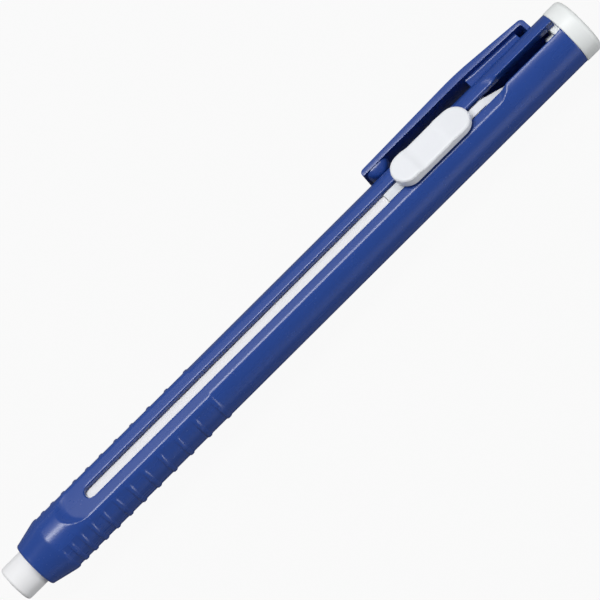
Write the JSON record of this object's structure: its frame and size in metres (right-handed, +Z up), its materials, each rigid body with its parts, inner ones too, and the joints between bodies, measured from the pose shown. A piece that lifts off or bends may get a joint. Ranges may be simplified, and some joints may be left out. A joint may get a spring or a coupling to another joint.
{
  "type": "retractable eraser",
  "caption": "Pen-shaped holder for an eraser stick, with a slide button in a long slot, a ribbed grip, a pocket clip and an end plug.",
  "frame": {"origin": "centre of the bottom of the whole holder's box, on the surface that it lies on", "axes": "+X along the barrel from the nose to the end plug, +Y towards the side with the clip, +Z up from the surface it lies on"},
  "size_m": [0.1313, 0.0142, 0.0127],
  "materials": {
    "barrel_plastic": "moulded, satin gloss",
    "eraser_rubber": "matt white vinyl",
    "carrier_plastic": "moulded, satin",
    "button_plastic": "moulded, satin",
    "plug_plastic": "moulded, satin"
  },
  "bodies": {
    "barrel": {"barrel": "barrel_plastic", "clip_root": "barrel_plastic"},
    "clip": {"clip_arm": "barrel_plastic"},
    "carrier": {"carrier": "carrier_plastic"},
    "button": {"slide_button": "button_plastic"},
    "eraser": {"eraser_stick": "eraser_rubber"},
    "plug": {"end_plug": "plug_plastic"}
  },
  "joints": [
    {"name": "clip_flex", "type": "hinge", "parent": "barrel", "child": "clip", "pos_m": [0.04515, 0.00556, 0.00258], "axis": [0, -0.361, -0.9326], "range_deg": [0, 5], "stiffness_Nm_per_rad": 1.4, "springref_deg": -0.29},
    {"name": "stick_feed", "type": "slide", "parent": "barrel", "child": "carrier", "axis": [-1, 0, 0], "range_m": [-0.006, 0.066]},
    {"name": "button_press", "type": "hinge", "parent": "carrier", "child": "button", "pos_m": [0.02875, -0.00052, 0.00848], "axis": [0, 0.9326, -0.361], "range_deg": [0, 2.2], "stiffness_Nm_per_rad": 0.6, "springref_deg": -0.57},
    {"name": "stick_refill", "type": "slide", "parent": "carrier", "child": "eraser", "axis": [-1, 0, 0], "range_m": [0, 0.1]},
    {"name": "plug_pull", "type": "slide", "parent": "barrel", "child": "plug", "axis": [1, 0, 0], "range_m": [0, 0.012]}
  ]
}
